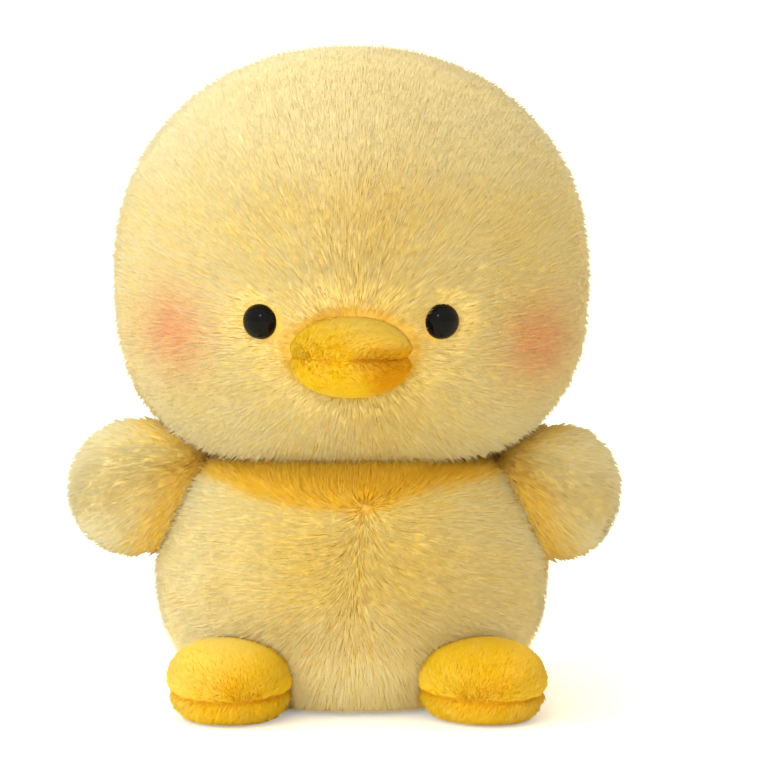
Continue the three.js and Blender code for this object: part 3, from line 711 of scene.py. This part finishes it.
def coat(form, body, label, length, seed, comb, look):
    """The pile of one form: sampled, thinned, combed, clumped and grown."""
    rng = np.random.default_rng(seed)
    points, quads, tris = placed(form, 0, *COAT_RINGS)
    where, skin = sampled(points, [quads, tris], COAT_PER_MM2, seed)
    kept, long, pale, deep, blush = look(where)
    where, skin, long, pale, deep, blush = (v[kept] for v in (where, skin, long, pale, deep, blush))
    n = len(where)

    # combed
    way, lean, tufted = comb(where)
    flat = laid_flat(way, skin)
    swirl = np.cross(skin, flat)
    drift = (noise(where, 26, seed + 1) * 0.3 + noise(where, 9, seed + 2) * 0.18) * (tufted - 0.4)
    group, groups = clumped(where, TUFTS / SHARE, rng)
    fine = rng.normal(size=(groups, 3))
    lumps, count = clumped(where, LUMPS / SHARE, rng)
    lump = rng.normal(size=(count, 3))[lumps]
    way = skin + flat * lean[:, None] + swirl * (drift * lean)[:, None]
    way = way + (fine[group] * 0.08 + lump * 0.03) * tufted[:, None] + rng.normal(size=(n, 3)) * 0.08
    way = unit(way)

    # grown
    upright = np.maximum(np.sum(way * skin, 1), 0.5)
    long = length / upright * (1 + 0.08 * rng.normal(size=n) + 0.03 * fine[group, 0]) * long
    guard = rng.random(n) < GUARDS
    long = np.where(guard, long * rng.uniform(*GUARD_LONG, n), long)
    root = where - skin * ROOT_DEPTH
    tip = root + way * long[:, None]
    tip = drawn_together(tip, group, groups, np.where(guard, 0.1, 0.24 * tufted)[:, None])

    # laid down where it would stand over the end of a round form
    away = tip - MIDDLE[form]
    far = np.linalg.norm(away, axis=1)
    above = far * (1 - 1 / inside(form, tip))
    above -= np.where(guard, rng.uniform(*GUARD_OVER, n), rng.normal(size=n) * 0.3 - 0.3)
    tip -= away / far[:, None] * np.maximum(above, 0)[:, None]
    tip[:, 2] = np.maximum(tip[:, 2], TIP_LOWEST)
    root[:, 2] = np.maximum(root[:, 2], ROOT_LOWEST)
    bend = unit(skin + way * 0.25)
    width = np.where(guard, GUARD_WIDTH, rng.uniform(*STRAND_WIDTH, n)) * BROADEN

    # coloured: tone carries the painted light from look, deep the painted shade
    tone = 0.38 + pale + 0.1 * rng.normal(size=n) + 0.08 * fine[group, 1] + 0.1 * noise(where, 30, 5)
    deep = np.clip(deep + 0.12 * rng.normal(size=n) * (deep > 0.02), 0, 1)
    blush = np.clip(blush * (1 + 0.3 * rng.normal(size=n)), 0, 1)
    # painted light: the fine guard hairs paler, as a lit fringe
    tone = np.where(guard, tone + 0.3, tone)
    traits = {"tone": np.clip(tone, 0, 1), "deep": deep, "blush": blush}
    shade = shading_way(form, where, skin, deep)
    bend_at = np.where(guard, UPRIGHT_KNEE, FLAT_KNEE)
    strands(label, body, PILE, root, shade, tip, bend, width, traits, rng, bend_at)


coat("head", "head", "head_pile", length=4.15, seed=11, comb=comb_head, look=look_head)
coat("body", "body", "body_pile", length=4.2, seed=12, comb=comb_body, look=look_body)
for hand, side in HANDS:
    wing, comb = f"wing_{hand}", comb_wing(side)
    coat(f"wing{side}", wing, f"{wing}_pile", length=4.3, seed=13 + side, comb=comb, look=look_wing)


# ---------------------------------------------------------------- skins and filling

SKIN_LOWEST = 0.6
FINE = 64, 96  # rings and sides
MIDDLING = 40, 60
COARSE = 24, 36


def skin_piece(name, form, grow, body, nodes, slot, wears, fill, mesh=FINE, lump=0.5, seat=0.0):
    """A stuffed bag of cloth or the filling in it, with the soft lumps of loose fibre."""
    points, quads, tris = placed(form, grow, *mesh)
    normals = vertex_normals(points, [quads, tris])
    points = points + normals * (noise(points, 14, len(name)) * lump)[:, None]
    points[:, 2] = np.maximum(points[:, 2], SKIN_LOWEST if form.startswith(("body", "foot")) else 0)
    if seat:  # the hollow that sits on the body's dome
        away = points - DOME
        far = np.linalg.norm(away, axis=1, keepdims=True)
        points = DOME + away * np.maximum(1, seat / far)
    piece = mesh_piece(name, points, [quads, tris], body, wears)
    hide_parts(*nodes)


def fur_skin(part, form, grow, fill, **more):
    """The backing cloth of a part, under its pile."""
    skin_piece(f"{part}_skin", form, grow, part, [f"{part}_fur_shell"], "fur", BACKING, fill, **more)


def filling(part, form, grow, fill, mesh, body=None, **more):
    """The filling of a part, which rides on the body of its own name or on another."""
    nodes = [f"{part}_stuffing"]
    skin_piece(f"{part}_filling", form, grow, body or part, nodes, "stuffing", FILLING, fill, mesh, **more)


fur_skin("head", "head", -2.3, fill=0.9, seat=SEAT_R)
filling("head", "head", -9.0, fill=0.85, mesh=MIDDLING, seat=SEAT_R + 2)
fur_skin("body", "body", -2.4, fill=0.85)
filling("body", "body", -9.0, fill=0.8, mesh=MIDDLING)
for hand, side in HANDS:
    fur_skin(f"wing_{hand}", f"wing{side}", -2.4, fill=0.75, mesh=MIDDLING)
    filling(f"wing_{hand}", f"wing{side}", -7.0, fill=0.7, mesh=COARSE)


# ---------------------------------------------------------------- velour pads: beak and feet

MODEL = 10.0  # a pad is simulated this many times its size
VOXEL = 0.007  # metres, of the enlarged pad
CLOTH_FRAMES = 12
PRESSURE = 15.0
SEAM_SHRINK = 0.07
MOST_MOVED = 1.3  # by the cloth
FOOT_ROOM = 0.3  # how much smaller than its form a pad starts, for the nap on it
BEAK_ROOM = 0.6


def shown_mesh(thing):
    """Points and quads of an object as its modifiers leave it."""
    ready = thing.evaluated_get(bpy.context.evaluated_depsgraph_get())
    mesh = ready.to_mesh()
    points = np.zeros(len(mesh.vertices) * 3)
    mesh.vertices.foreach_get("co", points)
    faces = [tuple(f.vertices) for f in mesh.polygons]
    ready.to_mesh_clear()
    quads = np.array([f for f in faces if len(f) == 4], int).reshape(-1, 4)
    tris = np.array([f for f in faces if len(f) == 3], int).reshape(-1, 3)
    return points.reshape(-1, 3), [g for g in (quads, tris) if len(g)]


def enlarged(points, faces):
    """A pad's object for a modifier to work on."""
    thing = bpy.data.objects.new("sewing", bare_mesh("sewing", points * MM * MODEL, faces))
    bpy.context.scene.collection.objects.link(thing)
    return thing


def remeshed(points, faces):
    thing = enlarged(points, faces)
    modifier = thing.modifiers.new("remesh", "REMESH")
    modifier.mode, modifier.voxel_size = "VOXEL", VOXEL
    found = shown_mesh(thing)
    bpy.data.objects.remove(thing)
    return found[0] / (MM * MODEL), found[1]


def stuffed(points, faces, seam):
    """Blender's cloth swells the pad, while its seam draws in."""
    thing = enlarged(points, faces)
    gathered = thing.vertex_groups.new(name="seam")
    for i, weight in enumerate(seam):
        if weight > 0.02:
            gathered.add([i], float(weight), "REPLACE")
    cloth = thing.modifiers.new("cloth", "CLOTH")
    cloth.settings.use_pressure = True
    cloth.settings.uniform_pressure_force = PRESSURE
    cloth.settings.effector_weights.gravity = 0
    cloth.settings.vertex_group_shrink = "seam"
    cloth.settings.shrink_min, cloth.settings.shrink_max = 0.0, SEAM_SHRINK
    cloth.point_cache.frame_start, cloth.point_cache.frame_end = 1, CLOTH_FRAMES
    scene = bpy.context.scene
    for step in range(1, CLOTH_FRAMES + 1):
        scene.frame_set(step)
    moved = shown_mesh(thing)[0] / (MM * MODEL)
    scene.frame_set(1)
    bpy.data.objects.remove(thing)
    by = moved - points
    far = np.linalg.norm(by, axis=1, keepdims=True)
    return points + by * np.minimum(1, MOST_MOVED / np.maximum(far, TINY))


def subdivided(points, faces):
    thing = enlarged(points, faces)
    thing.modifiers.new("smooth", "SUBSURF").levels = 1
    found = shown_mesh(thing)
    bpy.data.objects.remove(thing)
    return found[0] / (MM * MODEL), found[1]


PAD_RINGS = 40, 64
SEAM_WIDE = 0.7  # of the band that the cloth simulation draws in
CREASE_WIDE = 0.75
GATHERS_WIDE = 3.5
GATHERS = 0.16


def pad(name, form, grow, body, nodes, seam_height, tuck, low):
    """A sewn velour pad of an upper and a lower panel, and its seam drawn in by tuck."""
    points, quads, tris = placed(form, grow, *PAD_RINGS)
    faces = [quads, tris]
    points, faces = remeshed(points, faces)
    seam = bell(points[:, 2] - seam_height(points), SEAM_WIDE) * np.minimum(1, 3 * tuck(points))
    points = stuffed(points, faces, seam)
    points, faces = subdivided(points, faces)
    normals = vertex_normals(points, faces)
    off = points[:, 2] - seam_height(points)
    crease = bell(off, CREASE_WIDE) * tuck(points)
    gathers = bell(off, GATHERS_WIDE) * noise(points, 3.2, len(name)) * GATHERS
    points = points + normals * (gathers - crease)[:, None]
    points[:, 2] = np.maximum(points[:, 2], low)
    piece = mesh_piece(name, points, faces, body, VELOUR)
    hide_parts(*nodes)
    return points, faces


NAP_DEPTH = 0.25
NAP_TUFTS = 0.16  # for each strand
NAP_WIDTH = 0.09, 0.16
NAP_LOWEST = 0.15


def nap(label, body, points, faces, per_mm2, length, seed, comb):
    """The short pile of a velour pad."""
    rng = np.random.default_rng(seed)
    where, skin = sampled(points, faces, per_mm2, seed)
    kept, way, lean, long, tone, deep = comb(where, skin)
    where, skin, way, lean, long, tone, deep = (v[kept] for v in (where, skin, way, lean, long, tone, deep))
    n = len(where)
    flat = laid_flat(way, skin)
    group, groups = clumped(where, NAP_TUFTS / SHARE, rng)
    fine = rng.normal(size=(groups, 3))
    way = unit(skin + flat * lean[:, None] + fine[group] * 0.16 + rng.normal(size=(n, 3)) * 0.14)
    upright = np.maximum(np.sum(way * skin, 1), 0.4)
    long = length * long / upright * (1 + 0.1 * rng.normal(size=n))
    root = where - skin * NAP_DEPTH
    tip = drawn_together(root + way * long[:, None], group, groups, 0.3)
    tip[:, 2] = np.maximum(tip[:, 2], NAP_LOWEST)
    width = rng.uniform(*NAP_WIDTH, n) * BROADEN
    # tone and deep carry the comb's painted light and shade, made uneven here
    tone = np.clip(tone + 0.1 * rng.normal(size=n) + 0.08 * fine[group, 1], 0, 1)
    deep = np.clip(deep + 0.08 * rng.normal(size=n), 0, 1)
    bend = unit(skin + way * 0.25)
    # what faces down is shaded as turned to the light
    shade = unit(skin + np.array([0, -0.35, 0.45]) * smooth(0.3, -0.6, skin[:, 2])[:, None])
    strands(label, body, NAP, root, shade, tip, bend, width, {"tone": tone, "deep": deep}, rng)


def beak_seam(p):
    """The height of the seam between the beak's panels."""
    return BEAK_AT[2] + 0.5 - 0.8 * (p[:, 0] / BEAK["w"]) ** 2


def beak_comb(p, skin):
    """Both panels' nap runs to the chick's left, and parts along the left half of the seam."""
    kept = p[:, 1] < -44.5
    off = p[:, 2] - beak_seam(p)
    left = smooth(-3, 3, p[:, 0])
    parted = bell(off, 2.2) * left * smooth(-50, -54, p[:, 1])
    way = np.stack([np.ones(len(p)), 0 * off, 0.25 * np.sign(off) + 0.02 * off], -1)
    split = np.stack([0.3 * np.ones(len(p)), 0 * off, np.sign(off)], -1)
    way = way * (1 - parted[:, None]) + split * parted[:, None]
    lean = 1.15 - 0.75 * parted
    # painted highlight: paler towards the chick's left above the seam, and along the parting
    tone = 0.15 + 0.75 * smooth(-4, 9, p[:, 0] * 0.8 + off) * smooth(0, 3, off)
    tone = np.maximum(tone, 0.6 * parted) + 0.12 * noise(p, 6, 41)
    streak = noise(p * [0.2, 1, 1], 1.3, 43)
    tone = tone + 0.12 * streak
    # painted shade: in the seam, in the gaps between streaks near it, low down on the chick's left, and
    # where the beak meets the head
    deep = 0.85 * bell(off, 0.5) * left - 0.35 * np.minimum(streak, 0) * bell(off, 5)
    deep = deep + 0.5 * smooth(1, -6, off) * smooth(-2, 9, p[:, 0])
    deep = deep + 0.75 * smooth(0, 9, p[:, 0]) * smooth(5, 0, off)
    deep = np.maximum(deep, 0.7 * smooth(-49.5, -46, p[:, 1]))
    return kept, way, lean, 1 + 0.35 * parted, tone, deep


def foot_seam(side):
    """The height of the seam between a foot's upper and its sole."""

    def seam(p):
        across = spun(p - FOOT_AT[side], -TOE_OUT[side], "z")[:, 0]
        return FOOT_SEAM + 0.8 * (across / FOOT["w"]) ** 2

    return seam


def foot_comb(side):
    """The nap of the upper lies back up the foot, in rows; that of the sole hangs round it."""

    def comb(p, skin):
        q = spun(p - FOOT_AT[side], -TOE_OUT[side], "z")
        off = p[:, 2] - foot_seam(side)(p)
        kept = (inside("body", p, -2.5) > 1) & (p[:, 2] > 0.25)
        upper = smooth(-0.3, 0.3, off)[:, None]
        sole = 1 - upper[:, 0]
        round_sole = np.cross(skin, [0, 0, 0.5]) - [0, 0, 0.9]
        way = np.array([side * 0.5, 0.6, 0.9]) * upper + round_sole * (1 - upper)
        along = q[:, 2] * 1.1 + q[:, 1] * 0.5 - 0.45 * q[:, 0] + 0.25 * noise(p, 4, 51 + side)
        row = np.sin(2 * np.pi * along / 1.5)
        rows = smooth(-4, 8, side * q[:, 0] + 3) if side > 0 else 0.25 * np.ones(len(p))
        lean = 0.95 + 0.25 * row * rows + 0.35 * sole
        # tone rises and falls with the rows of nap: partly the rows themselves, partly painted light on
        # them
        tone = 0.2 + 0.18 * row * rows + 0.1 * noise(p, 7, 61 + side)
        # painted light: paler high up on the right foot, and on the outer side of the left foot
        if side < 0:
            tone = tone + 0.7 * smooth(-6, 7, off - 5 - q[:, 0] * 0.7)
        else:
            tone = tone + 0.35 * smooth(-4, 10, q[:, 0])
        # painted shade in the seam, below it, near the floor and against the body, and darker and lighter
        # diagonal streaks on the sole
        deep = 0.6 * bell(off, 0.4) + 0.1 * smooth(0.5, -1, off) + 0.3 * smooth(2.0, 0.3, p[:, 2])
        deep = deep + 0.12 * sole * np.sin(2 * np.pi * (q[:, 0] - q[:, 2]) / 1.6)
        deep = np.maximum(deep, 0.7 * near_form("body", p, 0.05))
        return kept, way, lean, np.ones(len(p)), tone, deep

    return comb


def half_tucked(p):
    """How far the beak's seam is drawn in: most on the chick's left."""
    return 0.05 + 0.4 * smooth(-1, 6, p[:, 0])


def evenly_tucked(p):
    return 0.3 + 0 * p[:, 0]


nodes = ["beak_upper", "beak_lower"]
sewn = pad("beak_pad", "beak", -BEAK_ROOM, "head", nodes, beak_seam, half_tucked, low=0)
nap("beak_nap", "head", *sewn, per_mm2=24, length=1.1, seed=31, comb=beak_comb)
filling("beak", "beak", -3.8, fill=0.8, mesh=(16, 24), body="head", lump=0.1)
for hand, side in HANDS:
    foot, form = f"foot_{hand}", f"foot{side}"
    nodes, seam = [f"{foot}_upper", f"{foot}_sole"], foot_seam(side)
    sewn = pad(f"{foot}_pad", form, -FOOT_ROOM, foot, nodes, seam, evenly_tucked, low=0.1)
    nap(f"{foot}_nap", foot, *sewn, per_mm2=18, length=1.2, seed=33 + side, comb=foot_comb(side))
    filling(foot, form, -4.2, fill=0.75, mesh=COARSE, lump=0.2)


# ---------------------------------------------------------------- eyes, base and sewing

EYE_R = 4.4
EYE_BULGE = 3.8
EYE_SINK = 3.0
SHANK_R = 1.3
SHANK_END = -10.5
RIBS = 12  # rows of the ribbed shank, half of them raised
RIB = 0.3
RIB_STEP = 0.5
DOME_ROWS = 24


def turned(section, sides):
    """A solid turned about +Z from radius and height pairs, whose first and last are on the axis."""
    out, up = np.array(section).T
    a = np.arange(sides) * 2 * np.pi / sides
    ring = np.stack([out[1:-1, None] * np.cos(a), out[1:-1, None] * np.sin(a), up[1:-1, None] + 0 * a], -1)
    points = np.vstack([ring.reshape(-1, 3), [[0, 0, up[0]], [0, 0, up[-1]]]])
    return points, *rows_joined(len(out) - 2, sides)


def eye_section():
    """Radius and height of a safety eye: a ribbed shank, a flat back and a dome."""
    rows = [(0, SHANK_END), (0.8, SHANK_END), (1.0, SHANK_END + 0.2)]
    for k in range(RIBS):
        at = SHANK_END + 0.5 + k * RIB_STEP
        rows.append((SHANK_R + (RIB if k % 2 else 0.0), at))
    rows += [(SHANK_R, -EYE_SINK - 0.3), (SHANK_R + 0.2, -EYE_SINK)]
    rows += [(EYE_R - 0.5, -EYE_SINK), (EYE_R - 0.12, -EYE_SINK + 0.03)]
    for k in range(1, DOME_ROWS):
        a = k / DOME_ROWS * math.pi / 2
        rows.append((EYE_R * math.cos(a), -EYE_SINK + EYE_BULGE * math.sin(a)))
    return rows + [(0, -EYE_SINK + EYE_BULGE)]


def eye(hand, side):
    """A safety eye, set square to the head's form."""
    points, quads, tris = turned(eye_section(), 64)
    x, z = side * EYE_AT[0], EYE_AT[1]
    wide = HEAD["w"] * (1 - ((HEAD_Z - z) / HEAD["down"]) ** HEAD["fd"]) ** (1 / HEAD["fd"])
    deep = wide * HEAD["d"] / HEAD["w"]
    ahead = deep * math.sqrt(1 - (x / wide) ** 2)
    yaw = math.atan2(x / wide**2, ahead / deep**2)
    points = np.stack([points[:, 0], -points[:, 2], points[:, 1]], -1)
    points = spun(points, yaw, "z") + [x, -ahead, z]
    piece = mesh_piece(f"eye_{hand}_dome", points, [quads, tris], "head", EYE)
    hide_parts(f"eye_{hand}")


BASE_PANEL = 30.3, 28.2
BASE_SEAM = 0.94  # of the way out to its edge
BASE_MID = 1.2  # the height of the middle of its thickness
BASE_HALF = 0.9
BASE_EDGE = 0.04  # the share of it that is rounded


def base_cloth():
    """The oval panel underneath, drawn in along the seam near its edge."""
    rings = 28
    out = np.concatenate([np.linspace(0, 1, rings), [1.0], np.linspace(1, 0, rings)])
    edge = np.sqrt(np.clip(1 - np.clip((out - (1 - BASE_EDGE)) / BASE_EDGE, 0, 1) ** 2, 0, 1))
    low, high = BASE_MID - BASE_HALF * edge[:rings], BASE_MID + BASE_HALF * edge[rings + 1:]
    up = np.concatenate([low, [BASE_MID], high])
    points, quads, tris = turned(np.stack([out, up], -1), 96)
    points = points * [*BASE_PANEL, 1]
    far = np.hypot(points[:, 0] / BASE_PANEL[0], points[:, 1] / BASE_PANEL[1])
    under = points[:, 2] < 1.1
    drawn = 0.45 * bell(far - BASE_SEAM, 0.012)
    drawn += 0.12 * smooth(0.9, 0.3, far) + 0.06 * noise(points * [1, 1, 0], 9, 71)
    points[:, 2] += np.where(under, drawn, 0)
    piece = mesh_piece("base_cloth", points, [quads, tris], "body", BACKING)
    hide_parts("base_panel")


base_cloth()
for hand, side in HANDS:
    eye(hand, side)

NODE_WEARS = {"stitches": THREAD, "washer": WASHER, "eye": EYE}  # by the first word that fits
for name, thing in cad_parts.items():
    wears = next((wears for word, wears in NODE_WEARS.items() if word in name), BACKING)
    thing.data.materials.clear()
    thing.data.materials.append(wears)


# ---------------------------------------------------------------- stage, light and camera

FLOOR_WIDE = 20.0  # metres each way
FLOOR_LIFT = 0.3  # what the camera sees added to the lit floor, so that it is white
FLOOR_GREYS = [(0, (0.86,) * 3), (1, (0.9,) * 3)]
SHARP = 30  # degrees: only a lamp smaller than this is mirrored in the eyes
CAMERA_FAR = 3.0
CAMERA_RISE = math.radians(8)
CAMERA_AIM = Vector((0.00795, 0, 0.0768))
VIEW_WIDE = 0.1879  # metres across the picture, at the aim
SENSOR = 36.0


def staged():
    """A pale floor that the camera sees as white away from the shadow."""
    mat, tree, shader = material("floor")
    grain = node(tree, "ShaderNodeTexNoise", Scale=40.0)
    wire(tree, ramp(tree, grain.outputs["Fac"], FLOOR_GREYS), shader.inputs["Base Color"])
    shader.inputs["Roughness"].default_value = 0.9
    shader.inputs["Emission Color"].default_value = (1, 1, 1, 1)
    path = tree.nodes.new("ShaderNodeLightPath")
    lift = node(tree, "ShaderNodeMath", operation="MULTIPLY")
    wire(tree, path.outputs["Is Camera Ray"], lift.inputs[0])
    lift.inputs[1].default_value = FLOOR_LIFT
    wire(tree, lift.outputs[0], shader.inputs["Emission Strength"])
    w = FLOOR_WIDE
    points = np.array([[-w, -w, 0], [w, -w, 0], [w, w, 0], [-w, w, 0]])
    mesh = bare_mesh("floor", points, [np.array([[0, 1, 2, 3]])])
    mesh.materials.append(mat)
    floor = bpy.data.objects.new("floor", mesh)
    bpy.context.scene.collection.objects.link(floor)


def sun(name, come_from, strength, soft, colour=(1, 1, 1)):
    """A lamp that is soft degrees wide in the sky."""
    data = bpy.data.lights.new(name, "SUN")
    data.energy, data.angle, data.color = strength, math.radians(soft), colour
    lamp = bpy.data.objects.new(name, data)
    lamp.visible_glossy = soft < SHARP
    lamp.rotation_euler = Vector(come_from).to_track_quat("Z", "Y").to_euler()
    bpy.context.scene.collection.objects.link(lamp)


def surround(strength, colour):
    """A soft even light, which the camera and glossy surfaces see as plain white."""
    world = bpy.data.worlds.new("surround")
    world.use_nodes = True
    bpy.context.scene.world = world
    tree = world.node_tree
    sky = tree.nodes["Background"]
    path = tree.nodes.new("ShaderNodeLightPath")
    seen = node(tree, "ShaderNodeMath", operation="MAXIMUM")
    wire(tree, path.outputs["Is Camera Ray"], seen.inputs[0])
    wire(tree, path.outputs["Is Glossy Ray"], seen.inputs[1])
    tint = node(tree, "ShaderNodeMix", data_type="RGBA", blend_type="MIX")
    wire(tree, seen.outputs[0], tint.inputs["Factor"])
    tint.inputs["A"].default_value = (*colour, 1)
    tint.inputs["B"].default_value = (1, 1, 1, 1)
    wire(tree, tint.outputs["Result"], sky.inputs["Color"])
    power = node(tree, "ShaderNodeMapRange")
    wire(tree, seen.outputs[0], power.inputs["Value"])
    power.inputs["To Min"].default_value = strength
    power.inputs["To Max"].default_value = 1.0
    wire(tree, power.outputs["Result"], sky.inputs["Strength"])


def camera():
    """A long lens, a little above the chick, as in the photograph."""
    data = bpy.data.cameras.new("camera")
    data.sensor_width, data.lens = SENSOR, SENSOR * CAMERA_FAR / VIEW_WIDE
    data.clip_end = 50
    eye_point = bpy.data.objects.new("camera", data)
    back = Vector((0, -math.cos(CAMERA_RISE), math.sin(CAMERA_RISE)))
    eye_point.location = CAMERA_AIM + CAMERA_FAR * back
    eye_point.rotation_euler = (CAMERA_AIM - eye_point.location).to_track_quat("-Z", "Y").to_euler()
    bpy.context.scene.collection.objects.link(eye_point)
    bpy.context.scene.camera = eye_point


WARM = (1.0, 0.85, 0.46)  # what pale surroundings and the pile itself throw back
staged()
surround(0.74, WARM)
sun("key", (-1, -0.15, 0.4), 3.55, 140, (0.9, 0.99, 0.98))
sun("front", (0, -1, 0.15), 1.1, 140, (1, 0.88, 0.56))
sun("back", (0.5, 0.9, 0.3), 1.1, 140, (1, 0.9, 0.7))
sun("spark", (-0.2, -0.85, 0.65), 0.3, 9)
camera()

scene = bpy.context.scene
scene.view_settings.view_transform = "Standard"
